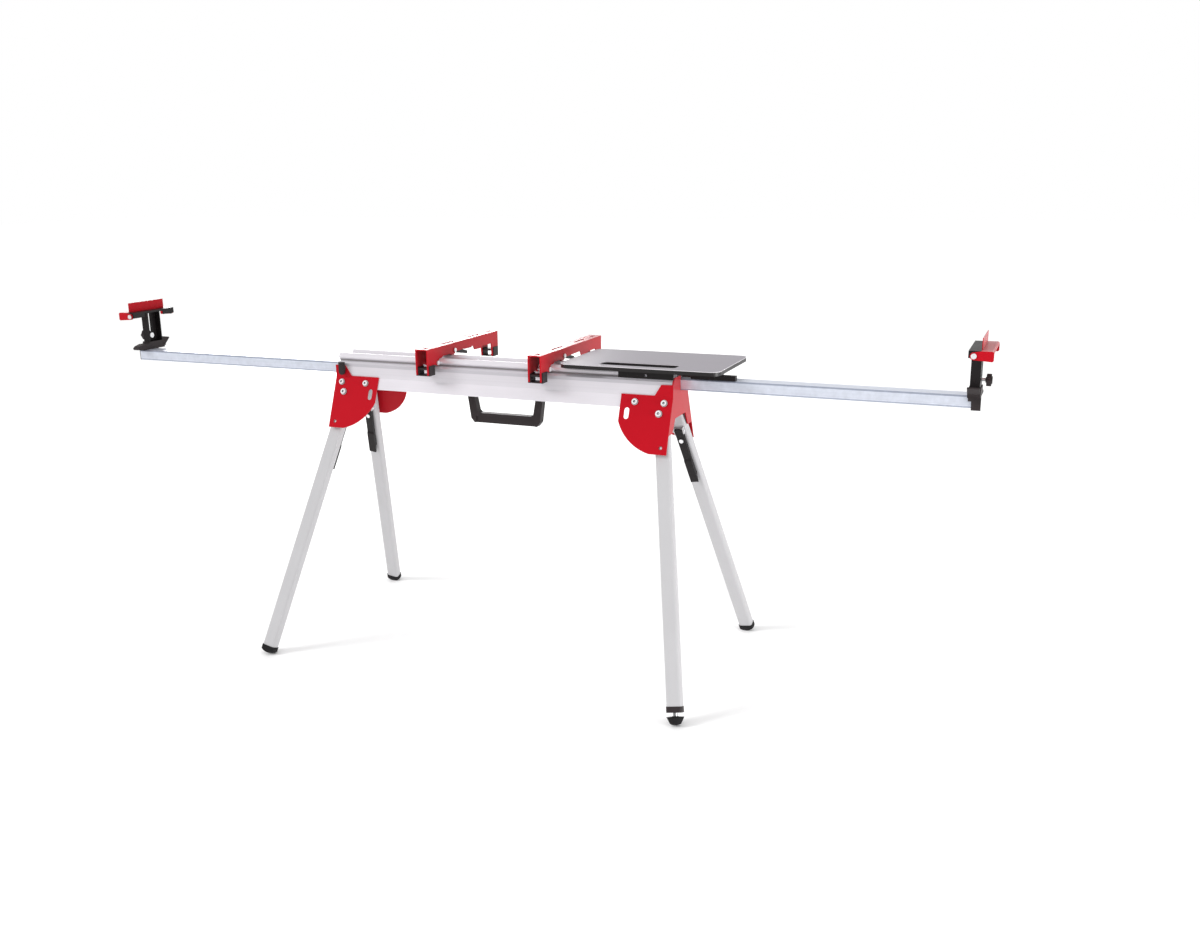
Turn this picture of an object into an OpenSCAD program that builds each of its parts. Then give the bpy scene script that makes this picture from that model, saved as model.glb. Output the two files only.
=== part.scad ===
// Folding mitre saw stand: an extruded beam on four folding legs, with a sliding
// extension tube at each end, two saw brackets and a small work table on its rails.
// Millimetres. +X runs along the beam, +Z is up, the floor is z = 0.

/* [Beam] */
// Length of the beam
beam_l = 1026; // [900:1:1100]
// Wall of the extrusion
wall = 2.5; // [2:0.1:3]
// Web between the two tube channels
web = 3; // [2:0.5:5]
// From the leg hinges up to the bend where the sides turn out into the skirts
bend_h = 50.5; // [48:0.5:54]
// Depth of the skirts below their bend
skirt_h = 31; // [26:0.5:34]
// From the bend up to the floor of the tube channels
floor_h = 6.5; // [6:0.5:9]
// Height of the rails above the beam's roof
rail_h = 21.5; // [19:0.5:26]
// Radius of the rails
rail_r = 12.5; // [10:0.5:14]
// Distance of a rail's middle from the beam's side
rail_in = 23; // [20:0.5:26]

/* [Legs] */
// Height of a leg's hinge, at the middle of the leg
hinge_z = 722.5; // [650:0.5:800]
// Distance of a leg's hinge from the end of the beam
hinge_in = 30; // [28:0.5:36]
// Lean of each leg plane away from upright
splay = 21.5; // [15:0.5:25]
// Lean of a leg inside its plane, away from the middle
lean = 10.16; // [8:0.01:12]
// Width of the leg tube
leg_w = 40; // [35:1:45]
// Depth of the leg tube
leg_d = 26; // [22:1:30]
// Wall of the leg tube
leg_t = 2; // [1.5:0.1:3]
// Diameter of the hinge bolt
pivot_d = 10; // [8:1:12]
// Running clearance on a radius
run = 0.05; // [0.02:0.01:0.1]
// Distance from the hinge to the lock pin
lock_r = 89.3; // [80:0.1:95]
// Diameter of the lock pin
pin_d = 9; // [8:0.5:10]
// Fold of the left pair above level
fold_up = 1.8; // [0.5:0.1:3]
// Fold of the right pair below level
fold_down = 6.5; // [5:0.1:9]
// Width of a catch lever
catch_w = 22; // [18:1:23]
// Length of a catch lever below its pin
catch_l = 165; // [130:1:170]

/* [Leg brackets] */
// Sheet thickness of the leg brackets
sheet = 3; // [2:0.5:4]
// Distance from the middle of a leg to the bracket's outer face
plate_n = 26; // [24:0.5:30]
// Radius of the bracket's round corner
plate_r = 135; // [122:1:148]
// Width of a bracket plate
plate_w = 143; // [135:1:155]
// How far a bracket plate reaches below the hinge
plate_drop = 106; // [102:1:115]

/* [Extensions] */
// Width of an extension tube
tube_w = 52; // [46:0.5:56]
// Height of an extension tube
tube_h = 31; // [28:0.5:34]
// Wall of an extension tube
tube_t = 2; // [1.5:0.1:3]
// How far an extension tube reaches beyond the beam
reach = 742; // [650:1:800]
// Length of an extension tube
tube_l = 980; // [880:5:1000]
// Height of the work rests above the tubes
rest_h = 119.5; // [108:0.5:132]
// Depth of a rest's post
post_d = 23; // [21:0.5:25]
// Width of a rest's post
post_w = 55; // [50:1:60]
// Half the length of a work rest
ear_y = 86; // [78:1:94]

/* [Saw brackets and table] */
// Height of the saw brackets above the rails
saw_h = 33; // [30:0.5:40]
// Width of a saw bracket
saw_w = 38; // [34:1:42]
// Reach of a saw bracket in front of the centre line
saw_front = 107; // [102:1:115]
// Reach of a saw bracket behind the centre line
saw_back = 310; // [290:1:330]
// Place of the first saw bracket along the beam
saw_x1 = -199; // [-450:1:-90]
// Place of the second saw bracket
saw_x2 = 145; // [40:1:160]
// Left end of the table
tab_x = 203; // [195:1:220]
// Length of the table
tab_l = 440; // [400:1:460]
// Reach of the table in front of the centre line
tab_front = 84; // [78:1:92]
// Reach of the table behind the centre line
tab_back = 198; // [180:1:215]
// Thickness of the table
tab_t = 11.7; // [10:0.1:14]

/* [Hidden] */
$fn = 64;
// clearances: seat between bodies, and side play of a tube in its channel
seat = 0.3;
play = 0.5;
tan_s = tan(splay);
cos_s = cos(splay);
sin_s = sin(splay);
chan_w = tube_w + 2 * play;
chan_h = tube_h + 2 * play;
chan_y = (web + chan_w) / 2;
beam_hw = web / 2 + chan_w + wall;
skirt_top = hinge_z + bend_h;
skirt_bot = skirt_top - skirt_h;
cav_z = skirt_top + floor_h;
tube_z = cav_z + wall + chan_h / 2;
tube_top = tube_z + tube_h / 2;
roof_z = cav_z + chan_h + 2 * wall;
rail_top = roof_z + rail_h;
rail_y = beam_hw - rail_in;
rail_c = rail_top - rail_r;
end_x = beam_l / 2;
flange_x = end_x + 0.5;
plate_x = flange_x + sheet;
pivot_x = end_x - hinge_in;
pivot_z = hinge_z;
// the legs' middle lies behind the skirt's outer face, which starts at the bend
skin_n = plate_n - sheet;
pivot_y = beam_hw - skin_n * cos_s + (skirt_top - pivot_z - skin_n * sin_s) * tan_s;
leg_l = (pivot_z / cos_s) / cos(lean);
// bracket bolts: out from the hinge, in from it, and above it in the leg's plane
bolt_out = 11;
bolt_in = 69.5;
bolt_up = 28;
bolt_at = [[pivot_x + bolt_out, bolt_up + 0.3], [pivot_x - bolt_in, bolt_up - 0.2]];
// depth of the end flange below the hinges
flange_drop = 42.5;
lock_x = end_x - 22;
lever_r = 60;
lever_y = leg_d / 2 + 6;
lever_pin_d = 5;
// the lock pins stand drawn, this far behind the bracket sheets
pin_gap = 1.2;
// radius of a foot's sole
cap_r = 34;
screw_x = 107;
handle_x = 4;
screw_dx = 25;
tube_end = end_x + reach;
rest_z = tube_top + rest_h;
saw_z = rail_top + saw_h;
table_z = rail_top + seat + tab_t;
red = [0.8, 0.05, 0.1];
black = [0.16, 0.15, 0.15];
grey = [0.82, 0.81, 0.83];
zinc = [0.85, 0.87, 0.92];
white = [0.93, 0.93, 0.93];

// Part to show

// ---- frames and shared shapes ----

// The plane of one pair of legs: -Z runs down the legs, -Y points out.
module side(sy)
  mirror([0, sy > 0 ? 1 : 0, 0])
    translate([0, -pivot_y, pivot_z]) rotate([-splay, 0, 0]) children();

// One leg's own frame: origin on its hinge, -Z down the tube, -Y out.
module hip(sx, sy)
  side(sy) mirror([sx < 0 ? 1 : 0, 0, 0])
    translate([pivot_x, 0, 0]) rotate([0, -lean, 0]) children();

// Distance from the centre line of the plane n outside the legs' middle, at height z.
function plane_y(n, z) = pivot_y + n * cos_s - (z - pivot_z - n * sin_s) * tan_s;

module along_x(l) rotate([90, 0, 90]) linear_extrude(l, center = true) children();
module along_y(y0, y1) translate([0, y1, 0]) rotate([90, 0, 0]) linear_extrude(y1 - y0) children();
module rod_y(d, y0, y1) translate([0, y0, 0]) rotate([-90, 0, 0]) cylinder(d = d, h = y1 - y0);
module rod_x(d, x0, x1) translate([x0, 0, 0]) rotate([0, 90, 0]) cylinder(d = d, h = x1 - x0);
module hex_y(af, y0, y1) translate([0, y0, 0]) rotate([-90, 0, 0])
  cylinder(d = af / cos(30), h = y1 - y0, $fn = 6);
module block(x0, x1, y0, y1, z0, z1) translate([x0, y0, z0]) cube([x1 - x0, y1 - y0, z1 - z0]);

module round_rect(w, h, r) {
  square([w - 2 * r, h], center = true);
  square([w, h - 2 * r], center = true);
  for (x = [-1, 1], y = [-1, 1])
    translate([x * (w / 2 - r), y * (h / 2 - r)]) circle(r);
}

module slot2d(w, l) {
  square([w, l - w], center = true);
  for (s = [-1, 1]) translate([0, s * (l - w) / 2]) circle(w / 2);
}

// ---- beam ----

module beam_section() {
  difference() {
    union() {
      polygon([[-beam_hw, skirt_top], [-beam_hw, roof_z - 4.5], [-beam_hw + 5, roof_z],
        [beam_hw - 5, roof_z], [beam_hw, roof_z - 4.5], [beam_hw, skirt_top]]);
      for (s = [0, 1]) mirror([s, 0]) {
        // skirt, in the plane of the legs
        polygon([[beam_hw, skirt_top], [plane_y(skin_n, skirt_bot), skirt_bot],
          [plane_y(skin_n - wall, skirt_bot), skirt_bot], [plane_y(skin_n - wall, cav_z + 1.5), cav_z + 1.5],
          [beam_hw - 1, cav_z + 1.5]]);
        // neck and round rail
        translate([rail_y - 8, roof_z - 1]) square([16, 10]);
        intersection() {
          translate([rail_y, rail_c]) circle(rail_r);
          translate([rail_y - 20, rail_c - 1]) square([40, 30]);
        }
      }
    }
    // leg bay, tube channels and the hollow of each rail
    translate([-(beam_hw - wall), skirt_bot - 20])
      square([2 * (beam_hw - wall), cav_z - skirt_bot + 20]);
    for (s = [-1, 1]) {
      translate([s * chan_y, tube_z]) round_rect(chan_w, chan_h, 4);
      translate([s * rail_y, rail_c]) intersection() {
        circle(rail_r - wall);
        translate([-15, 1.5]) square([30, 20]);
      }
      translate([s * rail_y - 5.5, roof_z + 2.5]) square([11, 12]);
    }
  }
  // screw rib under the web
  difference() {
    translate([-8, skirt_top - 1.5]) square([16, cav_z - skirt_top + 2.5]);
    translate([-20, cav_z + 1]) square([40, 5]);
  }
}

module beam() color(grey) difference() {
  along_x(beam_l) beam_section();
  for (sx = [-1, 1]) {
    for (sy = [-1, 1]) side(sy) for (b = bolt_at)
      translate([sx * b[0], 0, b[1]]) rod_y(9, -30, -14);
    // hole for the tube lock's screw
    translate([sx * lock_x, 0, 0]) mirror([0, sx > 0 ? 0 : 1, 0])
      translate([0, 0, tube_z]) rod_y(9, beam_hw - wall - 3, beam_hw + 5);
  }
  for (s = [-1, 1], d = [-screw_dx, screw_dx])
    translate([handle_x + s * screw_x + d, 0, skirt_top - 13]) cylinder(d = 5, h = 18);
}

// ---- leg brackets: each is one bent sheet ----

module bracket_profile() {
  low = pivot_z - plate_drop - 24;
  bend_o = pivot_z + plate_n * sin_s + (pivot_y + plate_n * cos_s - beam_hw - sheet) / tan_s;
  polygon([[-plane_y(skin_n, low), low], [-plane_y(plate_n, low), low],
    [-beam_hw - sheet, bend_o], [-beam_hw - sheet, roof_z - 10.5], [-beam_hw, roof_z - 10.5],
    [-beam_hw, skirt_top]]);
}

// Seen square to the plate: straight top and inner edge, round inner corner.
module bracket_outline() intersection() {
  translate([plate_x - plate_w, -plate_drop]) square([plate_w, plate_drop + 47]);
  translate([pivot_x + 15.4, 25.6]) circle(plate_r, $fn = 128);
}

module bracket_end_flange() translate([flange_x, 0, 0]) rotate([90, 0, 90]) linear_extrude(sheet)
  difference() {
    low = pivot_z - flange_drop;
    gap = pivot_y - 10;
    polygon([[-plane_y(plate_n, low), low], [-plane_y(plate_n, skirt_top), skirt_top],
      [-beam_hw - sheet, roof_z - 10.5], [-beam_hw + 1, roof_z - 1.5], [-beam_hw + 11, roof_z + 6],
      [-4, roof_z + 6], [0.5, roof_z + 2], [0.5, cav_z + 1.5], [beam_hw, cav_z + 1.5],
      [beam_hw + sheet, skirt_top],
      [plane_y(plate_n, low), low]]);
    // notch between the legs
    polygon([[-gap, pivot_z - 6.5], [gap, pivot_z - 6.5], [gap + 21, low + 1], [gap + 21, low - leg_w],
      [-gap - 21, low - leg_w], [-gap - 21, low + 1]]);
    // pocket that the extension tube runs through
    translate([chan_y, tube_z]) square([chan_w + 4, chan_h + 2], center = true);
  }

module leg_bracket() color(red) difference() {
  union() {
    for (s = [0, 1]) mirror([0, s, 0]) intersection() {
      translate([plate_x - plate_w, 0, 0]) along_x(2 * plate_w) bracket_profile();
      union() {
        side(-1) along_y(-plate_n - 9, -skin_n + 8) bracket_outline();
        along_y(-beam_hw - 20, -beam_hw + 5) polygon([
          [pivot_x - 18.5, skirt_top - 7], [pivot_x - 18.5, skirt_top + 1],
          [pivot_x + 1, roof_z - 11.5], [plate_x, roof_z - 10.5], [plate_x, skirt_top - 7]]);
      }
    }
    bracket_end_flange();
    // boss round each hinge bolt
    for (s = [-1, 1]) side(s) translate([pivot_x, 0, 0]) rod_y(18, -skin_n - 1, -leg_d / 2 - seat);
  }
  for (s = [-1, 1]) side(s) {
    translate([pivot_x, 0, 0]) rod_y(pivot_d, -plate_n - 4, 0);
    for (b = bolt_at) translate([b[0], 0, b[1]]) rod_y(9, -plate_n - 4, -skin_n + 3);
    // lock holes: the open-leg hole, and a slot that serves both fold angles
    translate([pivot_x, 0, 0]) rotate([0, -lean, 0]) translate([0, 0, -lock_r])
      rod_y(pin_d + 1, -plate_n - 4, -skin_n + 3);
    translate([pivot_x - lock_r, 0, -lock_r * (sin(fold_down) - sin(fold_up)) / 2])
      along_y(-plate_n - 4, -skin_n + 3) slot2d(14, 31);
  }
  translate([lock_x, 0, tube_z]) rod_y(9, beam_hw - 7, beam_hw + sheet + 10);
}

module bolt_head(y, seat_d, head_d, h) difference() {
  union() {
    rod_y(seat_d, y - 1.5, y);
    rod_y(head_d, y - h, y - 1);
  }
  hex_y(head_d * 0.46, y - h - 1, y - h + 2.4);
}

module bracket_bolts() color(white) for (sx = [0, 1]) mirror([sx, 0, 0])
  for (s = [-1, 1]) side(s) for (b = bolt_at) translate([b[0], 0, b[1]]) {
    rod_y(9, -plate_n - 0.5, -skin_n + wall + 6.3);
    bolt_head(-plate_n, 18, 14, 5.5);
  }

module hinge_bolts() color(white) for (sx = [0, 1]) mirror([sx, 0, 0])
  for (s = [-1, 1]) side(s) translate([pivot_x, 0, 0]) {
    rod_y(pivot_d, -plate_n - 0.5, leg_d / 2 + 8);
    bolt_head(-plate_n, 19, 15, 6);
  }

module lock_nuts() color(zinc) for (sx = [0, 1]) mirror([sx, 0, 0]) for (s = [-1, 1]) side(s) {
  for (b = bolt_at) translate([b[0], 0, b[1]]) nut(-skin_n + wall, 9);
  translate([pivot_x, 0, 0]) nut(leg_d / 2 + seat, pivot_d);
}

module nut(y, d) difference() {
  hex_y(16, y, y + 6);
  rod_y(d, y - 1, y + 7);
}

// ---- carry handle ----

web_z = skirt_top - 1.5;

module carry_handle() color(black) translate([handle_x, 0, 0]) difference() {
  union() {
    difference() {
      along_y(-11, 11) difference() {
        polygon([[-122, web_z - seat], [122, web_z - seat], [107.5, web_z - 103.5], [97.5, web_z - 115.5],
          [-97.5, web_z - 115.5], [-107.5, web_z - 103.5]]);
        polygon([[-101, web_z - 7.5], [101, web_z - 7.5], [87.5, web_z - 81.5], [81, web_z - 87.5],
          [-81, web_z - 87.5], [-87.5, web_z - 81.5]]);
        translate([-75, web_z - 11]) square([150, 20]);
      }
      // finger side of the grip is drawn in
      for (s = [-1, 1]) block(-92, 92, s * 12 - 4, s * 12 + 4, web_z - 130, web_z - 97.5);
    }
    for (s = [-1, 1]) translate([s * screw_x, 0, web_z - seat - 3.7]) cube([64, 24, 7.4], center = true);
  }
  for (s = [-1, 1], d = [-screw_dx, screw_dx])
    translate([s * screw_x + d, 0, web_z - 12]) cylinder(d = 5.4, h = 18);
}

module handle_screws() color(zinc) for (s = [-1, 1], d = [-screw_dx, screw_dx])
  translate([handle_x + s * screw_x + d, 0, web_z - seat - 7.5]) {
    translate([0, 0, -5.2]) cylinder(d = 9.5, h = 5.2);
    translate([0, 0, -1]) cylinder(d = 5, h = 14.2);
  }

// ---- legs ----

lug_x = catch_w / 2 + 2;

// Tube with a round top, bores for hinge and pin, and two welded lugs for the catch.
module leg(l) color(grey) {
  difference() {
    intersection() {
      translate([0, 0, -l]) linear_extrude(l + leg_w) difference() {
        round_rect(leg_w, leg_d, 7);
        round_rect(leg_w - 2 * leg_t, leg_d - 2 * leg_t, 5);
      }
      along_y(-20, 20) union() {
        circle(leg_w / 2);
        translate([-leg_w / 2, -l]) square([leg_w, l]);
      }
    }
    rod_y(pivot_d + 2 * run, -20, 20);
    translate([0, 0, -lock_r]) rod_y(pin_d + 2 * run, -20, 20);
  }
  for (s = [-1, 1]) difference() {
    block(s * lug_x - 1.25, s * lug_x + 1.25, leg_d / 2 - 0.5, lever_y + 5, -lever_r - 9, -lever_r + 9);
    translate([0, 0, -lever_r]) translate([0, lever_y, 0]) rod_x(lever_pin_d, -20, 20);
  }
}

module catch_hinge() color(zinc) translate([0, lever_y, -lever_r]) {
  rod_x(lever_pin_d, -lug_x - 3, lug_x + 2.5);
  rod_x(8, -lug_x - 4.5, -lug_x - 1.4);
}

// Pressed lever with a round top and side flanges; its grip is thicker.
module catch() color(black) difference() {
  w = catch_w;
  tip = -lever_r - catch_l;
  grip = -lever_r - catch_l * 0.54;
  n0 = lever_y + 2.5;
  union() {
    along_y(n0, n0 + 2.5) {
      translate([0, -lever_r - 4]) circle(w / 2);
      translate([-w / 2, grip - 6]) square([w, -lever_r - 4 - grip + 6]);
    }
    rotate([90, 0, 90]) linear_extrude(w, center = true)
      polygon([[n0, grip + 1], [n0 + 2.5, grip + 1], [n0 + 5.5, grip - 6], [n0 + 5.5, tip + 1.5],
        [n0 + 4, tip], [n0 + 2.5, tip], [n0 + 2.5, grip - 5.4], [n0, grip - 1.6]]);
    // side flanges, with an ear on the outer one
    for (s = [-1, 1]) translate([s * (w / 2 - 1.25), 0, 0]) rotate([90, 0, 90])
      linear_extrude(2.5, center = true) {
        translate([lever_y, -lever_r]) circle(5);
        polygon([[lever_y - 4.6, -lever_r], [n0 + 2, -lever_r - 2], [n0 + 2.5, grip],
          [n0 + 4.5, grip - 4], [n0 + 4.5, tip + 3], [n0 + 0.5, tip + 3], [n0 - 1, tip + 22],
          [n0 - 5.5, tip + 26], [n0 - 5.5, tip + 36], [n0 - 4.5, grip],
          [lever_y - 4.6, -lever_r - 20]]);
      }
  }
  translate([0, lever_y, -lever_r]) rod_x(lever_pin_d + 2 * run, -20, 20);
  translate([0, 0, -lock_r - 0.6]) along_y(n0 - 6, n0 + 8) slot2d(pin_d + 1.6, pin_d + 3);
}

module lock_pin() color(white) translate([0, 0, -lock_r]) {
  rod_y(pin_d, -skin_n + pin_gap, lever_y + 6);
  rod_y(12, lever_y + 5 + seat, lever_y + 8.5);
}

// Rubber cap over a leg's end; its rounded sole is trimmed flat where it meets the floor.
module foot_cap(sx, sy) color(black) intersection() {
  hip(sx, sy) difference() {
    translate([0, 0, -leg_l - 12]) linear_extrude(36) round_rect(leg_w + 3.6, leg_d + 3.6, 8.5);
    translate([0, 0, -leg_l + 12]) linear_extrude(60) difference() {
      round_rect(leg_w, leg_d, 7);
      round_rect(leg_w - 2 * leg_t, leg_d - 2 * leg_t, 5);
    }
  }
  hip(sx, sy) translate([0, 0, -leg_l + (cap_r - 0.5) / (cos_s * cos(lean))])
    sphere(r = cap_r, $fn = 96);
  translate([-1000, -1000, 0]) cube([2000, 2000, 60]);
}

foot_r = 30;
// the collar closes the tube's end
collar_z = 34;
collar_h = 15;

module foot_collar() hip(1, -1) color(black) difference() {
  union() {
    translate([0, 0, -leg_l + collar_z]) linear_extrude(collar_h) round_rect(leg_w + 2, leg_d + 2, 7.5);
    translate([0, 0, -leg_l + collar_z + 6]) linear_extrude(collar_h + 17)
      round_rect(leg_w - 2 * leg_t, leg_d - 2 * leg_t, 5);
  }
  translate([0, 0, -leg_l + collar_z - 4]) cylinder(d = 11 + 2 * run, h = 60);
}

// Threaded rod with a round rubber foot; its ball-shaped sole meets the floor.
module levelling_foot() hip(1, -1) color(black) {
  drop = foot_r * (1 / (cos_s * cos(lean)) - 1);
  intersection() {
    translate([0, 0, -leg_l + foot_r + drop]) sphere(r = foot_r, $fn = 96);
    translate([0, 0, -leg_l]) cylinder(d1 = 22, d2 = 45, h = 23);
  }
  translate([0, 0, -leg_l + 19]) cylinder(d = 16, h = 6);
  translate([0, 0, -leg_l + 12]) cylinder(d = 11, h = 90);
}

// ---- extensions; each is drawn for the right end, and turned for the left ----

module at_end(sx) rotate([0, 0, sx < 0 ? 180 : 0]) children();

module ext_tube() color(zinc) difference() {
  translate([tube_end - tube_l / 2, chan_y, tube_z]) rotate([90, 0, 90])
    linear_extrude(tube_l, center = true) difference() {
      round_rect(tube_w, tube_h, 4);
      round_rect(tube_w - 2 * tube_t, tube_h - 2 * tube_t, 2);
    }
}

// Plug in the tube's open end.
module end_cap() color(black) translate([tube_end, chan_y, tube_z]) rotate([90, 0, 90]) {
  linear_extrude(2) round_rect(tube_w, tube_h, 4);
  translate([0, 0, -18]) linear_extrude(18.5) round_rect(tube_w - 2 * tube_t, tube_h - 2 * tube_t, 2);
}

post_x = tube_end - 17;
post_f = post_x + post_d;
base_x = post_x - 4;
base_top = tube_top + 23;
post_foot = tube_top + 4;

// Saddle on the tube's top with a socket for the post and a cheek down the tube's inner
// side. Its clamp lever points one way, a small wing the other.
module stop_base() color(black) {
  w = post_w / 2 + 3.5;
  in_y = chan_y - tube_w / 2;
  difference() {
    union() {
      block(base_x, post_f + 3, -w, in_y + tube_w + 4, tube_top, tube_top + 6);
      along_y(-w, w) polygon([[base_x + 1, tube_top], [base_x + 1, tube_top + 14], [post_x - 3, base_top],
        [post_f + 3, base_top], [post_f + 3, tube_top]]);
      block(base_x, post_f + 3, in_y - 5, in_y, tube_z + 2, tube_top + 1);
      block(post_x + 4, post_f + 3, in_y - 5, in_y, tube_z - tube_h / 2 - 4, tube_z + 3);
    }
    block(post_x, post_f, -post_w / 2, post_w / 2, post_foot, base_top + 50);
  }
  translate([post_x + 7, 0, tube_top]) along_x(22)
    polygon([[w - 1, 1.5], [w - 1, 19], [54, 19], [75, 14], [82, 8], [79, 3], [54, 1.5]]);
  translate([post_x + 10, 0, tube_top]) along_x(28)
    polygon([[-w + 1, 5], [-w + 1, 15], [-w - 21, 29], [-w - 23, 26], [-w - 5, 9], [-w - 5, 5]]);
}

slot_z0 = base_top + 5;
slot_z1 = rest_z - 9;
knob_z = slot_z0 + 12;
tongue_x = post_f - 2.5 - seat;

// Channel, open towards the middle of the stand, with a slotted web.
module stop_post() color(black) difference() {
  block(post_x, post_f, -post_w / 2, post_w / 2, post_foot, rest_z - sheet - seat);
  block(post_x - 60, post_f - 2.5, -post_w / 2 + 2.5, post_w / 2 - 2.5, post_foot - 1, rest_z);
  translate([0, 0, (slot_z0 + slot_z1) / 2]) rotate([0, 0, 90]) along_y(-post_f - 10, -post_x + 10)
    slot2d(8.6, slot_z1 - slot_z0);
}

rivet_x = post_x + 9;
rivet_z = rest_z - 12;

// Work rest: top plate with a folded lip, an ear at each end and a slotted tongue.
module work_rest() color(black) difference() {
  top_z = rest_z - sheet;
  union() {
    block(post_x - 2, post_f + 1, -ear_y, ear_y, top_z, rest_z);
    difference() {
      block(post_x - 3.3, post_x - 0.3, -ear_y, ear_y, rest_z - 17, rest_z);
      block(post_x - 10, post_x + 10, -post_w / 2 - 12, post_w / 2 + 12, rest_z - 40, top_z - 3);
    }
    for (s = [-1, 1]) translate([0, s * (ear_y - 1.5), 0]) along_y(-1.5, 1.5) {
      translate([rivet_x, rivet_z]) circle(9);
      polygon([[post_x - 3.3, rest_z], [post_f + 1, rest_z], [post_f - 5, rivet_z], [rivet_x, rivet_z - 9],
        [post_x, rivet_z - 5], [post_x - 3.3, rivet_z]]);
    }
    block(tongue_x - 2.5, tongue_x, -post_w / 2 + 2.8, post_w / 2 - 2.8, knob_z - 15, rest_z - 1);
  }
  // slot over the bolt's hole
  rotate([0, 0, 90]) along_y(-post_f - 2, -post_x - 12)
    translate([0, (knob_z + 12 + slot_z1) / 2]) slot2d(8.6, slot_z1 - knob_z - 12);
  translate([0, 0, knob_z]) rod_x(8, post_x + 10, post_f + 5);
  for (s = [-1, 1]) translate([rivet_x, 0, rivet_z]) rod_y(6, s * ear_y - 4, s * ear_y + 4);
}

module rest_bolt() color(white) translate([0, 0, knob_z]) {
  rod_x(8, tongue_x - 3, post_f + 13);
  rod_x(16, tongue_x - 6.5, tongue_x - 2.5);
}

module rest_knob() color(black) translate([post_f + 10, 0, knob_z]) difference() {
  union() {
    translate([2, 0, 0]) rotate([90, 0, 90]) linear_extrude(11) {
      circle(13.5);
      for (a = [0 : 60 : 300]) rotate(a) translate([11.5, 0]) circle(4);
    }
    rod_x(18, 10, 15);
    rod_x(14, 0, 3);
  }
  rod_x(8 + 2 * run, -1, 6);
}

// Flip stop: upright fence, level web and two ears, from one sheet.
module flip_stop() color(red) {
  t = 2;
  y1 = ear_y + seat + t;
  x0 = post_f + 2;
  x1 = x0 + 23;
  r = 5;
  difference() {
    union() {
      block(x0, x0 + t, -ear_y + 13, ear_y - 13, rest_z - t, rest_z + 28);
      block(x0, x1, -y1, y1, rest_z - t, rest_z);
      translate([x1, 0, rest_z - r]) rotate([90, 0, 0])
        difference() {
          cylinder(r = r, h = 2 * y1, center = true);
          cylinder(r = r - t, h = 2 * y1 + 9, center = true);
          translate([-20, -20, -y1 - 9]) cube([20, 40, 2 * y1 + 18]);
          translate([-20, -40, -y1 - 9]) cube([40, 40, 2 * y1 + 18]);
        }
      for (s = [-1, 1]) translate([0, s * (y1 - t / 2), 0]) along_y(-t / 2, t / 2) {
        translate([rivet_x, rivet_z]) circle(9);
        polygon([[rivet_x, rivet_z + 9], [x0 + 1, rest_z], [x1, rest_z], [x1 + r, rest_z - r],
          [x1 + r, rivet_z - 9], [x1 + r - 3, rivet_z - 12], [rivet_x, rivet_z - 9]]);
      }
    }
    translate([rivet_x, 0, rivet_z]) rod_y(6 + 2 * run, -ear_y - 20, ear_y + 20);
  }
}

module flip_rivets() color(white) for (s = [0, 1]) mirror([0, s, 0]) translate([rivet_x, 0, rivet_z]) {
  rod_y(6, ear_y - 5, ear_y + 4);
  rod_y(13, ear_y + 2 + 2 * seat, ear_y + 5);
  rod_y(10, ear_y - 5, ear_y - 3);
}

// Lever that clamps an extension tube in its channel.
module tube_lock() color(black) translate([lock_x, 0, tube_z]) {
  rod_y(8.8, beam_hw - 1.5, beam_hw + 7);
  rod_y(17, beam_hw + sheet + seat, beam_hw + 15);
  along_y(beam_hw + 7, beam_hw + 14) {
    translate([-9, -10]) square([18, 28]);
    translate([0, -10]) circle(9);
  }
}

// ---- saw brackets ----

clamp_y = rail_y + 10;
clamp_z = rail_top + 12;
// pin in front of the front rail, clear of it by its own head
hook_y = -rail_y - 19;
hook_z = rail_c + 2;
foot_z = roof_z - 16.5;
foot_l = 34;

module saw_side() {
  rest = rail_top + seat;
  difference() {
    union() {
      polygon([[-saw_front, saw_z], [-saw_front, foot_z], [-saw_front + foot_l, foot_z],
        [-saw_front + foot_l, foot_z + 24], [hook_y - 6, foot_z + 24], [hook_y, hook_z],
        [-rail_y - 8, rest], [-rail_y + 8, rest], [-rail_y + 13, rest + 4],
        [rail_y - 13, rest + 4], [rail_y - 8, rest], [rail_y + 8, rest],
        [rail_y + 18, rest + 6.5], [156, rest + 8.5],
        [163, rest - 4], [saw_back - 104, rest - 5], [saw_back - 100, rest], [saw_back - 42, rest],
        [saw_back - 39, foot_z], [saw_back, foot_z], [saw_back, saw_z]]);
      translate([hook_y, hook_z]) circle(8);
      translate([clamp_y, clamp_z]) circle(9);
    }
    for (s = [-1, 1]) translate([s * rail_y, rail_c]) circle(rail_r + seat);
  }
}

module saw_bracket() color(red) difference() {
  along_x(saw_w) saw_side();
  along_x(saw_w - 2 * sheet) translate([-saw_front - 50, foot_z - 50])
    square([saw_front + saw_back + 100, saw_z - sheet - foot_z + 50]);
  // two bolt slots in a line, and a slot near each end
  for (y = [40, 190]) translate([0, y, saw_z - 10]) linear_extrude(20) slot2d(8, 70);
  for (y = [-saw_front + 22, saw_back - 22]) translate([0, y, saw_z - 10]) linear_extrude(20) slot2d(10, 24);
  translate([0, clamp_y, clamp_z]) rod_x(cross_d, -saw_w, saw_w);
  translate([0, hook_y, hook_z]) rod_x(cross_d, -saw_w, saw_w);
}

cross_d = 7;

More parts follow.
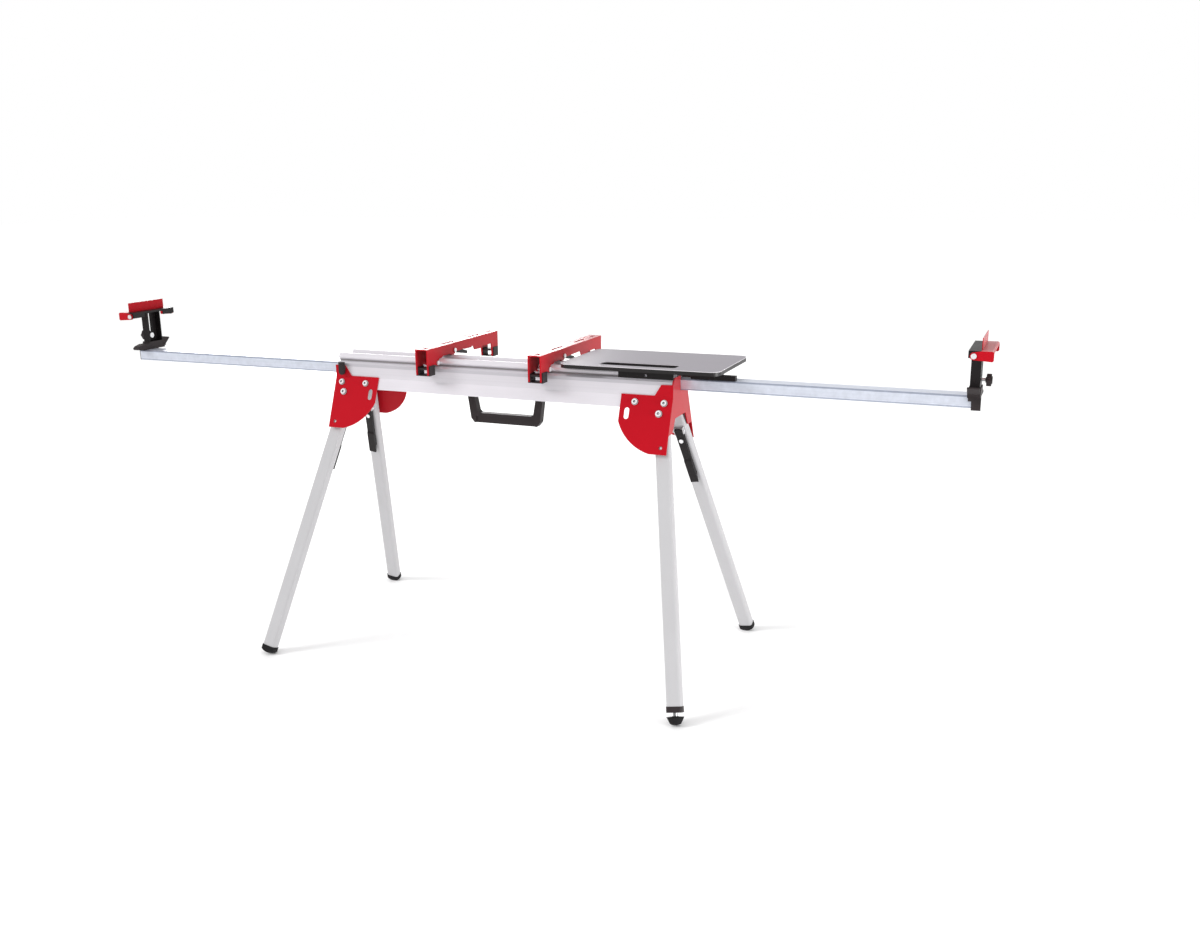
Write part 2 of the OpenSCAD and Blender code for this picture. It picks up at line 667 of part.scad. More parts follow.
// Two plastic shoes on the bracket's feet, each open in the middle.
module saw_shoes() color(black) for (y = [-saw_front + 5, saw_back - foot_l])
  along_y(y, y + foot_l - 5) {
    h = 25;
    for (s = [0, 1]) mirror([s, 0]) {
      translate([saw_w / 2 + seat, foot_z - 3]) square([2.5, h + 3]);
      translate([saw_w / 2 - sheet - seat - 2.5, foot_z - 3]) square([2.5, h]);
    }
    translate([-saw_w / 2 - seat - 2.5, foot_z - 3]) square([saw_w + 2 * seat + 5, 3 - seat]);
    translate([-saw_w / 2 + sheet + seat, foot_z + 14]) square([saw_w - 2 * sheet - 2 * seat, 5]);
  }

module clamp_lever() color(black) difference() {
  along_x(20) {
    translate([clamp_y, clamp_z]) circle(10.5);
    // hook behind the rear rail
    polygon([[clamp_y + 2, clamp_z],
      [rail_y + rail_r + seat, rail_top - 2], [rail_y + rail_r + seat, rail_top - 16],
      [rail_y + rail_r + 8, rail_top - 18.5], [clamp_y + 11, clamp_z]]);
    // hand lever
    polygon([[clamp_y, clamp_z + 9], [clamp_y + 88, rail_top - 2], [clamp_y + 91, rail_top - 6],
      [clamp_y + 88, rail_top - 11], [clamp_y + 6, clamp_z - 8]]);
  }
  translate([0, clamp_y, clamp_z]) rod_x(cross_d + 2 * run, -30, 30);
}

// Lever bolt and front pin: two of the same bolt, each with its nut.
module cross_bolts() color(white)
  for (p = [[clamp_y, clamp_z], [hook_y, hook_z]]) translate([0, p[0], p[1]]) {
  rod_x(cross_d, -saw_w / 2 - 2, saw_w / 2 + 2);
  rod_x(12, saw_w / 2, saw_w / 2 + 4);
  rotate([0, 0, 90]) hex_y(10, saw_w / 2, saw_w / 2 + 4);
}

// ---- table ----

tab_c = tab_x + tab_l / 2;
slot_l = 212;
slot_w = 48;

module table() color([0.7, 0.68, 0.7]) difference() {
  translate([tab_c, (tab_back - tab_front) / 2, rail_top + seat])
    linear_extrude(tab_t) round_rect(tab_l, tab_back + tab_front, 25);
  translate([tab_c - 9, -rail_y, rail_top - 30]) linear_extrude(100) round_rect(slot_l, slot_w, 12);
}

// Plate under the table's front edge, in front of the slot.
module table_hook() color(black) {
  y0 = -rail_y - slot_w / 2 - 7.5;
  difference() {
    block(tab_c - 56, tab_c + 95, y0, y0 + 5.5, rail_top - 18, rail_top + seat);
    translate([tab_c + 20, 0, rail_top - 10]) rod_y(8, y0 - 10, y0 + 20);
  }
}

// Bar that carries the table's free end on the right extension tube.
module table_support() color(black) {
  z0 = tube_top + seat;
  y0 = chan_y - tube_w / 2 + 1;
  along_y(y0, y0 + 18) {
    polygon([[plate_x + 2.5, roof_z + 1.5], [plate_x + 26, roof_z + 1.5], [plate_x + 27, z0],
      [tab_x + tab_l + 19, z0],
      [tab_x + tab_l + 19, z0 + 12.5], [plate_x + 2.5, z0 + 12.5]]);
    for (x = [plate_x + 30, tab_x + tab_l - 45])
      translate([x, z0 + 12]) square([28, rail_top + seat - z0 - 12]);
  }
}

// ---- assembly ----

module leg_nodes(sx, sy, tail) {
  own = sx > 0 && sy < 0 ? leg_l - collar_z - collar_h : leg_l - 12;
  hip(sx, sy) leg(own);
  hip(sx, sy) catch();
  hip(sx, sy) catch_hinge();
  hip(sx, sy) lock_pin();
}

leg_nodes(-1, -1, "front_left");
leg_nodes(-1, 1, "rear_left");
leg_nodes(1, -1, "front_right");
leg_nodes(1, 1, "rear_right");

module end_nodes(sx, tail) at_end(sx) {
  ext_tube();
  end_cap();
  stop_base();
  stop_post();
  work_rest();
  rest_bolt();
  rest_knob();
  flip_stop();
  flip_rivets();
  tube_lock();
}

end_nodes(-1, "left");
end_nodes(1, "right");

module saw_nodes(x, tail) translate([x, 0, 0]) {
  saw_bracket();
  saw_shoes();
  clamp_lever();
  cross_bolts();
}

saw_nodes(saw_x1, "1");
saw_nodes(saw_x2, "2");

beam();
rotate([0, 0, 180]) leg_bracket();  // bracket_left
leg_bracket();  // bracket_right
bracket_bolts();
hinge_bolts();
lock_nuts();
carry_handle();
handle_screws();
foot_cap(-1, -1);  // foot_front_left
foot_cap(-1, 1);  // foot_rear_left
foot_cap(1, 1);  // foot_rear_right
foot_collar();
levelling_foot();
table();
table_hook();
table_support();
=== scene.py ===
"""Looks for a folding mitre saw stand: finishes for its CAD nodes, and a studio round it.

Laid out as an add-on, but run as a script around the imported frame. Metres, +Z up, +X along the
beam towards the table end, the floor at z = 0.
"""

import math

import bmesh
import bpy
from bpy.props import FloatProperty, FloatVectorProperty, PointerProperty
from mathutils import Matrix, Vector


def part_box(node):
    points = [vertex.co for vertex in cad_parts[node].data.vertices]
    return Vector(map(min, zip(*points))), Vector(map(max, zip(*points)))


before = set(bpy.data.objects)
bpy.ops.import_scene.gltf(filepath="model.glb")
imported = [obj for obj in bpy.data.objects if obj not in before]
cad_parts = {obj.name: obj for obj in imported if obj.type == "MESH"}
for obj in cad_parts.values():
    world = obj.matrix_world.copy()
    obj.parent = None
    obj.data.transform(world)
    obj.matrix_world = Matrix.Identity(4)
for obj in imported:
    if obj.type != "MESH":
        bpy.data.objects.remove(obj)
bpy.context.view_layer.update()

bl_info = {
    "name": "Folding mitre saw stand",
    "version": (1, 0, 0),
    "blender": (4, 5, 0),
    "location": "View3D > Sidebar > Saw stand",
    "description": "Finishes and studio for a folding mitre saw stand",
    "category": "Object",
}

MM = 0.001
CORNERS = ("front_left", "rear_left", "front_right", "rear_right")
STAND_MIDDLE = (0, 0, 0.75)
FLOOR_SIZE = 60

# the front right leg: a point on its axis, and the direction down along it
LEG_HINGE = (0.483, -0.0522, 0.7225)
LEG_DOWN = (0.1764, -0.3608, -0.9158)

# bottom and top of the band of painted shade on the beam's upright walls under the rails, and of
# the darker painted shade in the grooves under its rails
SHADED_WALL_BAND = (0.803, 0.822)
RAIL_SHADE_BAND = (0.8172, 0.8205)

# the photo's camera
CAMERA_PLACE = (1.45277, -2.78979, 1.33202)
CAMERA_ROLL = -0.01198
SENSOR_MM = 36

# numbers of the Mix node's colour sockets, because its other sockets have the same names
MIX_A, MIX_B, MIX_RESULT = 6, 7, 2


def linear(hex_colour):
    """An sRGB hex colour, such as "C8C8C8", as linear red, green and blue."""
    parts = [int(hex_colour[i : i + 2], 16) / 255 for i in (0, 2, 4)]
    return tuple(p / 12.92 if p <= 0.04045 else ((p + 0.055) / 1.055) ** 2.4 for p in parts)


# Settings


def colour(name, description, hex_colour):
    return FloatVectorProperty(
        name=name, description=description, subtype="COLOR",
        size=3, min=0, max=1, default=linear(hex_colour),
    )


class SawStandColours(bpy.types.PropertyGroup):
    beam: colour("Beam", "Clear anodised extrusion", "E7E3E9")
    legs: colour("Legs", "Grey powder coat of the leg tubes", "B9B8BA")
    tubes: colour("Extension tubes", "Bright zinc of the extension tubes", "E4E9F6")
    red: colour("Red parts", "Red powder coat of brackets and flip stops", "B0071A")
    black_coat: colour("Black steel", "Black powder coat of posts, rests and levers", "191516")
    plastic: colour("Black plastic", "Glass-filled nylon of handle, knobs and caps", "2D2728")
    rubber: colour("Rubber", "Moulded rubber of the feet", "181718")
    zinc: colour("Fasteners", "Bright zinc plate on bolts, pins and rivets", "F4F4F6")
    table: colour("Table", "Grey laminate of the table top", "97929A")
    # painted highlight: the pale line along the top edge of the table
    table_highlight: colour("Table line", "Painted highlight along the table's top edge", "D6D2D6")
    floor: colour("Floor", "Pale studio floor", "FFFFFF")
    card: colour("Dark card", "Card that upright faces reflect", "868686")


class SawStandStudio(bpy.types.PropertyGroup):
    lens: FloatProperty(
        name="Lens", description="Focal length for a 36 mm sensor, in millimetres",
        unit="CAMERA", default=34.19, min=10, max=200,
    )
    azimuth: FloatProperty(
        name="Azimuth", description="Turn of the view round the stand", subtype="ANGLE",
        unit="ROTATION", default=math.radians(22.71),
    )
    elevation: FloatProperty(
        name="Elevation", description="Downward tilt of the view", subtype="ANGLE",
        unit="ROTATION", default=math.radians(14.53),
    )
    key: FloatProperty(
        name="Key light", description="Strength of the broad light from the upper left front",
        default=1.7, min=0,
    )
    key_width: FloatProperty(
        name="Key width", description="Angle that the key light spans", subtype="ANGLE",
        unit="ROTATION", default=math.radians(20), min=0,
    )
    side: FloatProperty(
        name="Side light", description="Power of the softbox on the right",
        unit="POWER", default=100, min=0,
    )
    rim: FloatProperty(
        name="Rim light", description="Power of the strip light behind",
        unit="POWER", default=110, min=0,
    )
    sky: FloatProperty(
        name="Room light", description="Strength of the even white room", default=0.76, min=0
    )


def colours():
    return bpy.context.scene.saw_stand_colours


def studio():
    return bpy.context.scene.saw_stand_studio


# Parts of a material


def per_mm(size_mm):
    """The scale at which a pattern in metres repeats about every size_mm millimetres."""
    return 1000 / size_mm


def add(tree, kind, settings=(), **links):
    """Adds a node. Its settings give attributes and sockets their values, or link a socket to
    the one given. A link's name is its socket's, or its number after a low line, such as _0."""
    node = tree.nodes.new(kind)
    for key, value in dict(settings).items():
        if isinstance(key, str) and hasattr(node, key):
            setattr(node, key, value)
        elif isinstance(value, bpy.types.NodeSocket):
            tree.links.new(value, node.inputs[key])
        else:
            node.inputs[key].default_value = value
    for key, source in links.items():
        socket = int(key[1:]) if key[1:].isdigit() else key
        tree.links.new(source, node.inputs[socket])
    return node


def finish(name, base, metallic=0.0, roughness=0.5, **sockets):
    """A material with one Principled shader; returns it, its tree, its shader and the object
    coordinates."""
    mat = bpy.data.materials.new(name)
    mat.use_nodes = True
    tree = mat.node_tree
    shader = next(n for n in tree.nodes if n.type == "BSDF_PRINCIPLED")
    shader.inputs["Base Color"].default_value = (*base, 1)
    shader.inputs["Metallic"].default_value = metallic
    shader.inputs["Roughness"].default_value = roughness
    for key, value in sockets.items():
        shader.inputs[key.replace("_", " ")].default_value = value
    return mat, tree, shader, add(tree, "ShaderNodeTexCoord").outputs["Object"]


def vary(tree, shader, factor, base, low, high):
    """Base colour between base*low and base*high, by factor; returns that colour."""
    mix = add(tree, "ShaderNodeMix", {
        "data_type": "RGBA",
        MIX_A: (*[c * low for c in base], 1),
        MIX_B: (*[min(1, c * high) for c in base], 1),
    }, _0=factor)
    tree.links.new(mix.outputs[MIX_RESULT], shader.inputs["Base Color"])
    return mix.outputs[MIX_RESULT]


def dull(tree, shader, factor, base, tone):
    """Paints shade: multiplies the colour base by tone where factor is 1; returns that colour."""
    mix = add(tree, "ShaderNodeMix", {
        "data_type": "RGBA", "blend_type": "MULTIPLY", MIX_A: base, MIX_B: (*tone, 1),
    }, _0=factor)
    tree.links.new(mix.outputs[MIX_RESULT], shader.inputs["Base Color"])
    return mix.outputs[MIX_RESULT]


def roughen(tree, shader, factor, low, high):
    """Roughness between low and high, by factor."""
    spread = add(tree, "ShaderNodeMapRange", {"To Min": low, "To Max": high}, Value=factor)
    tree.links.new(spread.outputs["Result"], shader.inputs["Roughness"])


def grain(tree, shader, height, depth_mm, strength):
    """Bump of a real depth in millimetres."""
    bump = add(tree, "ShaderNodeBump", {"Distance": depth_mm * MM, "Strength": strength},
               Height=height)
    tree.links.new(bump.outputs["Normal"], shader.inputs["Normal"])


def band(tree, height, low, high, soft=0.3 * MM):
    """1 between two heights in metres, 0 outside them."""
    above = add(tree, "ShaderNodeMapRange", {"From Min": low - soft, "From Max": low},
                Value=height)
    under = add(tree, "ShaderNodeMapRange", {"From Min": high + soft, "From Max": high},
                Value=height)
    both = add(tree, "ShaderNodeMath", {"operation": "MULTIPLY"},
               _0=above.outputs[0], _1=under.outputs[0])
    return both.outputs[0]


# Finishes


def anodised_aluminium(name, base, line_mm=1.6, cloud_mm=180):
    """Extruded, then clear anodised: die lines along the beam, a soft satin and almost no colour.
    The upright walls under the rails carry a band of painted shade, and the grooves under the
    rails carry darker painted shade. Real die lines are finer than line_mm, but these still show
    at this distance."""
    mat, tree, shader, where = finish(name, base, metallic=0.4, roughness=0.3)
    changes_per_metre = 0.4
    lines = add(tree, "ShaderNodeMapping",
                {"Scale": (changes_per_metre, per_mm(line_mm), per_mm(line_mm))}, Vector=where)
    streak = add(tree, "ShaderNodeTexNoise", {"Scale": 1.0, "Detail": 3.0, "Roughness": 0.6},
                 Vector=lines.outputs[0]).outputs[0]
    cloud = add(tree, "ShaderNodeTexNoise", {"Scale": per_mm(cloud_mm), "Detail": 2.0},
                Vector=where).outputs[0]
    both = add(tree, "ShaderNodeMath", {"operation": "MULTIPLY_ADD", 1: 0.5}, _0=streak, _2=cloud)
    spread = add(tree, "ShaderNodeMapRange", {"From Min": 0.5, "From Max": 1.0},
                 Value=both.outputs[0])
    clean = vary(tree, shader, spread.outputs[0], base, low=0.93, high=1.04)
    height = add(tree, "ShaderNodeSeparateXYZ", Vector=where).outputs["Z"]
    # painted shade: a darker band on the upright walls under the rails
    wall_shaded = dull(tree, shader, band(tree, height, *SHADED_WALL_BAND), clean, tone=(0.8, 0.8, 0.81))
    # painted shade: darker still in the grooves under the rails
    dull(tree, shader, band(tree, height, *RAIL_SHADE_BAND), wall_shaded, tone=(0.5, 0.49, 0.46))
    roughen(tree, shader, streak, low=0.24, high=0.38)
    grain(tree, shader, streak, depth_mm=0.05, strength=0.15)
    return mat


def powder_coat(name, base, roughness, gloss=0.25, haze=0.0, pebble_mm=1.1, cloud_mm=90):
    """Sprayed dry and baked: an even colour under a fine orange peel, hazy when seen along the
    surface."""
    mat, tree, shader, where = finish(name, base, roughness=roughness, Specular_IOR_Level=gloss,
                                      Sheen_Weight=haze, Sheen_Roughness=0.35)
    pebble = add(tree, "ShaderNodeTexNoise", {"Scale": per_mm(pebble_mm), "Detail": 2.0},
                 Vector=where).outputs[0]
    cloud = add(tree, "ShaderNodeTexNoise", {"Scale": per_mm(cloud_mm), "Detail": 3.0},
                Vector=where).outputs[0]
    vary(tree, shader, cloud, base, low=0.95, high=1.05)
    roughen(tree, shader, cloud, low=roughness - 0.05, high=roughness + 0.07)
    grain(tree, shader, pebble, depth_mm=0.05, strength=0.5)
    return mat


def bright_zinc(name, base, bottom, top, corner_mm=3.6, flat_mm=0.4, line_mm=1.4, spangle_mm=14):
    """Rolled and electroplated steel: bluish white, faint draw lines, cloudy plating, and painted
    shade along the rolled corners, flat_mm in from the tube's bottom and top."""
    mat, tree, shader, where = finish(name, base, metallic=0.5, roughness=0.3)
    changes_per_metre = 3.0
    lines = add(tree, "ShaderNodeMapping",
                {"Scale": (changes_per_metre, per_mm(line_mm), per_mm(line_mm))}, Vector=where)
    streak = add(tree, "ShaderNodeTexNoise", {"Scale": 1.0, "Detail": 3.0},
                 Vector=lines.outputs[0]).outputs[0]
    cloud = add(tree, "ShaderNodeTexNoise", {"Scale": per_mm(spangle_mm), "Detail": 3.0},
                Vector=where).outputs[0]
    both = add(tree, "ShaderNodeMath", {"operation": "MULTIPLY_ADD", 1: 0.6}, _0=streak, _2=cloud)
    spread = add(tree, "ShaderNodeMapRange", {"From Min": 0.5, "From Max": 1.1},
                 Value=both.outputs[0])
    plating_and_shade = vary(tree, shader, spread.outputs[0], base, low=0.9, high=1.05)
    height = add(tree, "ShaderNodeSeparateXYZ", Vector=where).outputs["Z"]
    # painted shade: darker bands along the tube's rolled corners at its bottom and top
    for low in (bottom + flat_mm * MM, top - (corner_mm + flat_mm) * MM):
        shaded_corner = band(tree, height, low, low + corner_mm * MM)
        plating_and_shade = dull(tree, shader, shaded_corner, plating_and_shade, tone=(0.48, 0.5, 0.55))
    roughen(tree, shader, cloud, low=0.26, high=0.42)
    grain(tree, shader, streak, depth_mm=0.03, strength=0.12)
    return mat


def plated_hardware(name, base, recess_mm=4, ding_mm=2.5):
    """Barrel-plated fasteners: a bright face with tiny dings, and painted shade in sockets and
    corners."""
    mat, tree, shader, where = finish(name, base, metallic=0.5, roughness=0.3)
    dings = add(tree, "ShaderNodeTexNoise", {"Scale": per_mm(ding_mm), "Detail": 2.0},
                Vector=where).outputs[0]
    # painted shade: ambient occlusion darkens sockets and corners down to 6 % of the plating's
    # colour
    open_air = add(tree, "ShaderNodeAmbientOcclusion", {"Distance": recess_mm * MM, "samples": 8})
    recess_shade = add(tree, "ShaderNodeMapRange", {"From Min": 0.55, "From Max": 0.9},
              Value=open_air.outputs["AO"])
    vary(tree, shader, recess_shade.outputs[0], base, low=0.06, high=1.0)
    roughen(tree, shader, dings, low=0.22, high=0.4)
    grain(tree, shader, dings, depth_mm=0.06, strength=0.3)
    return mat


def moulded_nylon(name, base, roughness=0.48, spark_mm=0.9, cloud_mm=35):
    """Glass-filled nylon from a spark-eroded mould: a fine matt grain with a dull sheen."""
    mat, tree, shader, where = finish(name, base, roughness=roughness, Specular_IOR_Level=0.22)
    spark = add(tree, "ShaderNodeTexVoronoi", {"Scale": per_mm(spark_mm)}, Vector=where)
    cloud = add(tree, "ShaderNodeTexNoise", {"Scale": per_mm(cloud_mm), "Detail": 2.0},
                Vector=where).outputs[0]
    vary(tree, shader, cloud, base, low=0.85, high=1.2)
    roughen(tree, shader, cloud, low=roughness - 0.05, high=roughness + 0.08)
    grain(tree, shader, spark.outputs["Distance"], depth_mm=0.06, strength=0.4)
    return mat


def threaded_rod(tree, where, zinc, reach_mm=6.5, sole_mm=20, pitch_mm=1.75):
    """The zinc plated rod of the levelling foot: 1 where it is and 0 elsewhere, and its colour,
    painted threads with painted shade in their roots. It is what lies within reach_mm of the
    leg's axis and higher than sole_mm."""
    from_hinge = add(tree, "ShaderNodeVectorMath", {"operation": "SUBTRACT", 1: LEG_HINGE},
                     _0=where).outputs[0]
    across = add(tree, "ShaderNodeVectorMath", {"operation": "CROSS_PRODUCT", 1: LEG_DOWN},
                 _0=from_hinge)
    from_axis = add(tree, "ShaderNodeVectorMath", {"operation": "LENGTH"}, _0=across.outputs[0])
    near = add(tree, "ShaderNodeMath", {"operation": "LESS_THAN", 1: reach_mm * MM},
               _0=from_axis.outputs["Value"])
    height = add(tree, "ShaderNodeSeparateXYZ", Vector=where).outputs["Z"]
    above = add(tree, "ShaderNodeMath", {"operation": "GREATER_THAN", 1: sole_mm * MM}, _0=height)
    rod = add(tree, "ShaderNodeMath", {"operation": "MULTIPLY"},
              _0=near.outputs[0], _1=above.outputs[0])

    half_turn = pitch_mm / 2 * MM
    along = add(tree, "ShaderNodeVectorMath", {"operation": "DOT_PRODUCT", 1: LEG_DOWN},
                _0=from_hinge)
    turns = add(tree, "ShaderNodeMath", {"operation": "PINGPONG", 1: half_turn},
                _0=along.outputs["Value"])
    rise = add(tree, "ShaderNodeMapRange", {"From Max": half_turn}, Value=turns.outputs[0])
    # painted shade: the threads are drawn in colour, near black in their roots and lighter on
    # their crests
    shaded_root, crest = ((*[shade * c for c in zinc], 1) for shade in (0.05, 0.6))
    shaded_thread = add(tree, "ShaderNodeMix", {"data_type": "RGBA", MIX_A: shaded_root, MIX_B: crest},
                 _0=rise.outputs[0])
    return rod.outputs[0], shaded_thread.outputs[MIX_RESULT]


def moulded_rubber(name, base, zinc=None, roughness=0.78, fleck_mm=3, dust_mm=14):
    """Moulded rubber: dull, and dusty up to dust_mm above the floor. With a colour for zinc, the
    levelling foot's rod stands in it."""
    mat, tree, shader, where = finish(name, base, roughness=roughness, Specular_IOR_Level=0.2)
    fleck = add(tree, "ShaderNodeTexNoise", {"Scale": per_mm(fleck_mm), "Detail": 4.0},
                Vector=where).outputs[0]
    height = add(tree, "ShaderNodeSeparateXYZ", Vector=where).outputs["Z"]
    dust = add(tree, "ShaderNodeMapRange",
               {"From Min": dust_mm * MM, "From Max": 0.0, "To Min": 0.1, "To Max": 0.8},
               Value=height)
    both = add(tree, "ShaderNodeMath", {"operation": "MULTIPLY"}, _0=fleck, _1=dust.outputs[0])
    dusty = vary(tree, shader, both.outputs[0], base, low=1.0, high=6.0)
    grain(tree, shader, fleck, depth_mm=0.1, strength=0.4)
    if zinc:
        rod, shaded_thread = threaded_rod(tree, where, zinc)
        mix = add(tree, "ShaderNodeMix", {"data_type": "RGBA", MIX_A: dusty, MIX_B: shaded_thread},
                  _0=rod)
        tree.links.new(mix.outputs[MIX_RESULT], shader.inputs["Base Color"])
        tree.links.new(rod, shader.inputs["Metallic"])
        roughen(tree, shader, rod, low=roughness, high=0.3)
    return mat


def laminate(name, base, line, edge, top, cloud_mm=120, pebble_mm=2.2):
    """Board with a pressed grey top sheet, sawn and edged in black, and a painted highlight as a
    pale line just under the board's top."""
    mat, tree, shader, where = finish(name, base, roughness=0.4)
    cloud = add(tree, "ShaderNodeTexNoise", {"Scale": per_mm(cloud_mm), "Detail": 3.0},
                Vector=where).outputs[0]
    pebble = add(tree, "ShaderNodeTexVoronoi", {"Scale": per_mm(pebble_mm)}, Vector=where)
    layer = vary(tree, shader, cloud, base, low=0.94, high=1.07)
    height = add(tree, "ShaderNodeSeparateXYZ", Vector=where).outputs["Z"]
    # painted highlight: a pale line from 0.6 to 1.9 mm under the top, then the black edge
    for depth_mm, tone in ((0.6, line), (1.9, edge)):
        below = add(tree, "ShaderNodeMath", {"operation": "LESS_THAN", 1: top - depth_mm * MM},
                    _0=height)
        mix = add(tree, "ShaderNodeMix", {"data_type": "RGBA", MIX_A: layer, MIX_B: (*tone, 1)},
                  _0=below.outputs[0])
        layer = mix.outputs[MIX_RESULT]
    tree.links.new(layer, shader.inputs["Base Color"])
    roughen(tree, shader, cloud, low=0.34, high=0.46)
    grain(tree, shader, pebble.outputs["Distance"], depth_mm=0.05, strength=0.25)
    return mat


def matt_paint(name, base, cloud_mm=1250):
    """Matt emulsion on the studio floor and on the card: no gloss, a touch uneven."""
    mat, tree, shader, where = finish(name, base, roughness=0.85, Specular_IOR_Level=0)
    cloud = add(tree, "ShaderNodeTexNoise", {"Scale": per_mm(cloud_mm), "Detail": 2.0},
                Vector=where)
    vary(tree, shader, cloud.outputs[0], base, low=0.99, high=1.0)
    return mat


def paint(material, *names):
    """Gives CAD nodes a material, in their own slots."""
    for name in names:
        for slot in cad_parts[name].material_slots:
            slot.material = material


def node_names(*starts):
    return [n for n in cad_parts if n.startswith(starts)]


# Studio


def aim(lamp, place):
    """Puts a light at place, aimed at the middle of the stand and out of the camera's sight."""
    obj = bpy.data.objects.new(lamp.name, lamp)
    bpy.context.collection.objects.link(obj)
    obj.location = place
    towards = Vector(STAND_MIDDLE) - Vector(place)
    obj.rotation_euler = towards.to_track_quat("-Z", "Y").to_euler()
    obj.visible_camera = False
    return obj


def softbox(name, place, size, power):
    lamp = bpy.data.lights.new(name, "AREA")
    lamp.shape = "RECTANGLE"
    lamp.size, lamp.size_y = size
    lamp.energy = power
    aim(lamp, place)


def dark_card(name, low, high, lift_mm=4):
    """A dark card on the floor in front of the stand: only its reflection shows, in upright
    faces."""
    shape = bmesh.new()
    corners = [(low[0], low[1]), (high[0], low[1]), (high[0], high[1]), (low[0], high[1])]
    shape.faces.new([shape.verts.new((x, y, lift_mm * MM)) for x, y in corners])
    mesh = bpy.data.meshes.new(name)
    shape.to_mesh(mesh)
    shape.free()
    mesh.materials.append(matt_paint("dark_card", colours().card))
    card = bpy.data.objects.new(name, mesh)
    bpy.context.collection.objects.link(card)
    card.visible_camera = card.visible_diffuse = card.visible_shadow = False


def white_room(sky):
    """An even white room, lit less than the white wall that the camera sees."""
    world = bpy.data.worlds.new("white_room")
    world.use_nodes = True
    tree = world.node_tree
    room = tree.nodes["Background"]
    room.inputs["Color"].default_value = (1, 1, 1, 1)
    seen = add(tree, "ShaderNodeLightPath").outputs["Is Camera Ray"]
    level = add(tree, "ShaderNodeMapRange", {"To Min": sky, "To Max": 1.0}, Value=seen)
    tree.links.new(level.outputs[0], room.inputs["Strength"])
    return world


def photo_camera(focal_mm, azimuth, elevation):
    """The photo's camera; azimuth and elevation turn its view where it stands."""
    lens = bpy.data.cameras.new("photo_camera")
    lens.lens = focal_mm
    lens.sensor_width = SENSOR_MM
    camera = bpy.data.objects.new("photo_camera", lens)
    bpy.context.collection.objects.link(camera)
    turn = (
        Matrix.Rotation(azimuth, 4, "Z")
        @ Matrix.Rotation(math.pi / 2 - elevation, 4, "X")
        @ Matrix.Rotation(CAMERA_ROLL, 4, "Z")
    )
    camera.matrix_world = Matrix.Translation(CAMERA_PLACE) @ turn
    return camera


# Operators


class SAWSTAND_OT_beam(bpy.types.Operator):
    """Finishes the beam and the two extension tubes"""

    bl_idname = "saw_stand.beam"
    bl_label = "Beam and extension tubes"

    def execute(self, context):
        paint(anodised_aluminium("anodised_aluminium", colours().beam), "beam")
        low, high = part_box("tube_left")
        zinc = bright_zinc("zinc_plated_tube", colours().tubes, bottom=low[2], top=high[2])
        paint(zinc, "tube_left", "tube_right")
        return {"FINISHED"}


class SAWSTAND_OT_legs(bpy.types.Operator):
    """Finishes legs, catches and feet"""

    bl_idname = "saw_stand.legs"
    bl_label = "Legs and feet"

    def execute(self, context):
        c = colours()
        grey = powder_coat("grey_powder_coat", c.legs, roughness=0.4)
        paint(grey, *node_names("leg_"))
        black = powder_coat("black_powder_coat", c.black_coat, roughness=0.4)
        paint(black, *["catch_" + shaded_corner for shaded_corner in CORNERS])
        paint(moulded_rubber("foot_rubber", c.rubber), *node_names("foot_front", "foot_rear"))
        paint(moulded_rubber("levelling_rubber", c.rubber, c.zinc), "levelling_foot")
        paint(moulded_nylon("black_nylon", c.plastic), "foot_collar")
        return {"FINISHED"}


class SAWSTAND_OT_red_parts(bpy.types.Operator):
    """Finishes the red sheet parts"""

    bl_idname = "saw_stand.red_parts"
    bl_label = "Red sheet parts"

    def execute(self, context):
        red = powder_coat("red_powder_coat", colours().red, roughness=0.3, gloss=0.12, haze=0.3)
        paint(red, *node_names("bracket_left", "bracket_right", "saw_bracket", "flip_stop"))
        return {"FINISHED"}


class SAWSTAND_OT_black_parts(bpy.types.Operator):
    """Finishes posts, rests, levers, knobs, caps and the handle"""

    bl_idname = "saw_stand.black_parts"
    bl_label = "Black parts"

    def execute(self, context):
        steel = bpy.data.materials["black_powder_coat"]
        nylon = bpy.data.materials["black_nylon"]
        paint(steel, *node_names("stop_post", "work_rest", "clamp_lever", "table_hook",
                                 "table_support"))
        paint(nylon, *node_names("stop_base", "rest_knob", "end_cap", "tube_lock",
                                 "carry_handle", "saw_shoes"))
        return {"FINISHED"}


class SAWSTAND_OT_fasteners(bpy.types.Operator):
    """Finishes bolts, nuts, pins and rivets"""

    bl_idname = "saw_stand.fasteners"
    bl_label = "Fasteners"

    def execute(self, context):
        zinc = plated_hardware("plated_hardware", colours().zinc)
        paint(zinc, *node_names("bracket_bolts", "hinge_", "lock_", "handle_screws",
                                "catch_hinge", "rest_bolt", "flip_rivets", "cross_bolts"))
        return {"FINISHED"}


class SAWSTAND_OT_table(bpy.types.Operator):
    """Finishes the table"""

    bl_idname = "saw_stand.table"
    bl_label = "Table"

    def execute(self, context):
        c = colours()
        _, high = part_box("table")
        board = laminate("grey_laminate", c.table, c.table_highlight, c.black_coat, top=high[2])
        paint(board, "table")
        return {"FINISHED"}


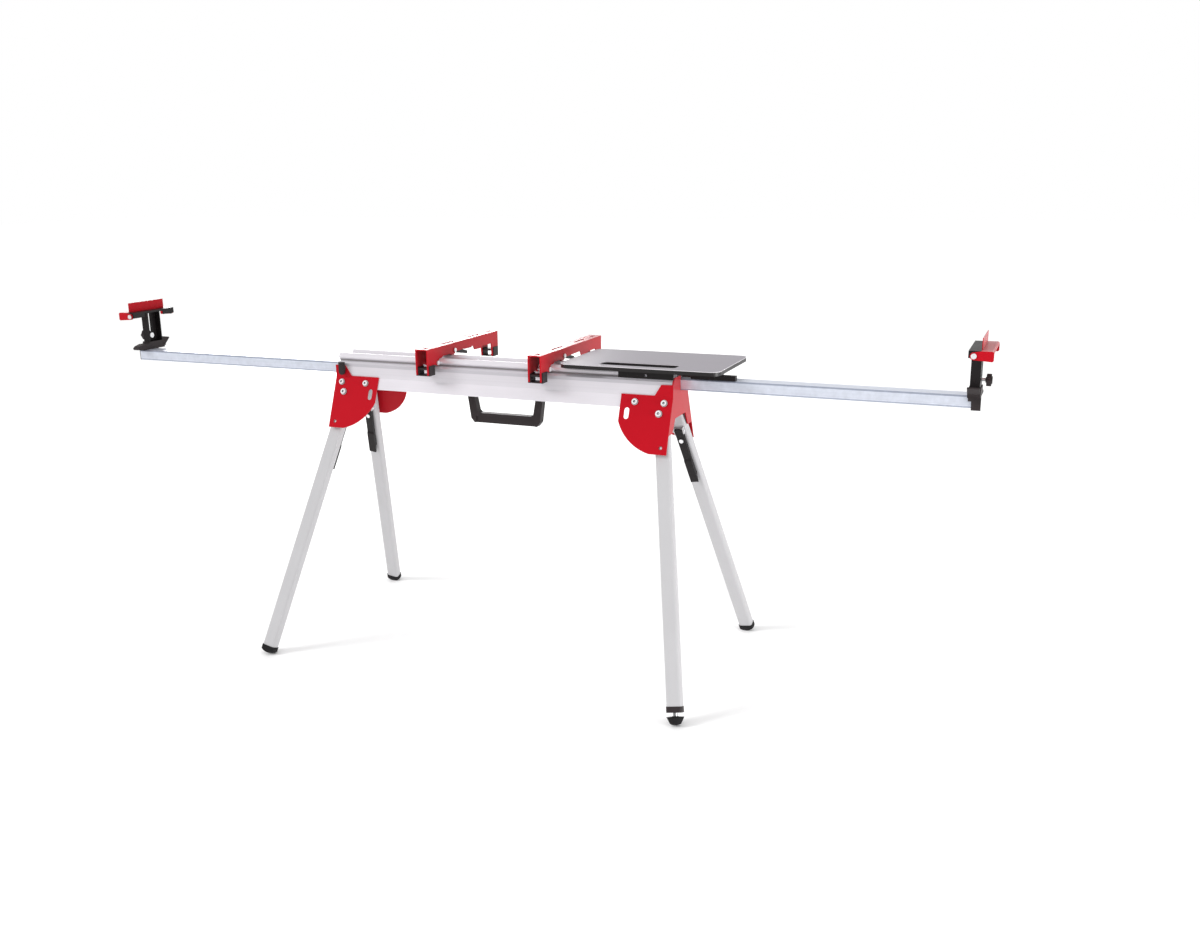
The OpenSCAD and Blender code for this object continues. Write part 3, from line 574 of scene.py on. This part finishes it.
class SAWSTAND_OT_studio(bpy.types.Operator):
    """Builds floor, lights and camera"""

    bl_idname = "saw_stand.studio"
    bl_label = "Studio"

    def execute(self, context):
        s = studio()
        bpy.ops.mesh.primitive_plane_add(size=FLOOR_SIZE)
        floor = context.object
        floor.name = "studio_floor"
        floor.data.materials.append(matt_paint("studio_floor", colours().floor))

        context.scene.world = white_room(s.sky)
        key = bpy.data.lights.new("key_light", "SUN")
        key.energy = s.key
        key.angle = s.key_width
        aim(key, place=(-4.4, -3.2, 3.8)).visible_glossy = False
        softbox("side_light", place=(4.6, -0.9, 0.75), size=(2.0, 1.3), power=s.side)
        softbox("rim_light", place=(-3.55, 4.6, 1.75), size=(3.3, 1.1), power=s.rim)
        dark_card("front_card", low=(-12, -14), high=(8, -2.2))

        context.scene.camera = photo_camera(s.lens, s.azimuth, s.elevation)
        context.scene.view_settings.view_transform = "Standard"
        return {"FINISHED"}


class SAWSTAND_PT_panel(bpy.types.Panel):
    bl_label = "Saw stand"
    bl_idname = "SAWSTAND_PT_panel"
    bl_space_type = "VIEW_3D"
    bl_region_type = "UI"
    bl_category = "Saw stand"

    def draw(self, context):
        for group in (colours(), studio()):
            for key in group.bl_rna.properties.keys():
                if key not in ("rna_type", "name"):
                    self.layout.prop(group, key)
        for step in STEPS:
            self.layout.operator(step.bl_idname)


STEPS = (
    SAWSTAND_OT_beam, SAWSTAND_OT_legs, SAWSTAND_OT_red_parts, SAWSTAND_OT_black_parts,
    SAWSTAND_OT_fasteners, SAWSTAND_OT_table, SAWSTAND_OT_studio,
)
CLASSES = (SawStandColours, SawStandStudio, *STEPS, SAWSTAND_PT_panel)


def register():
    for c in CLASSES:
        bpy.utils.register_class(c)
    bpy.types.Scene.saw_stand_colours = PointerProperty(type=SawStandColours)
    bpy.types.Scene.saw_stand_studio = PointerProperty(type=SawStandStudio)


def unregister():
    del bpy.types.Scene.saw_stand_colours
    del bpy.types.Scene.saw_stand_studio
    for c in reversed(CLASSES):
        bpy.utils.unregister_class(c)


def main():
    register()
    for step in STEPS:
        area, name = step.bl_idname.split(".")
        getattr(getattr(bpy.ops, area), name)()


if __name__ == "__main__":
    main()
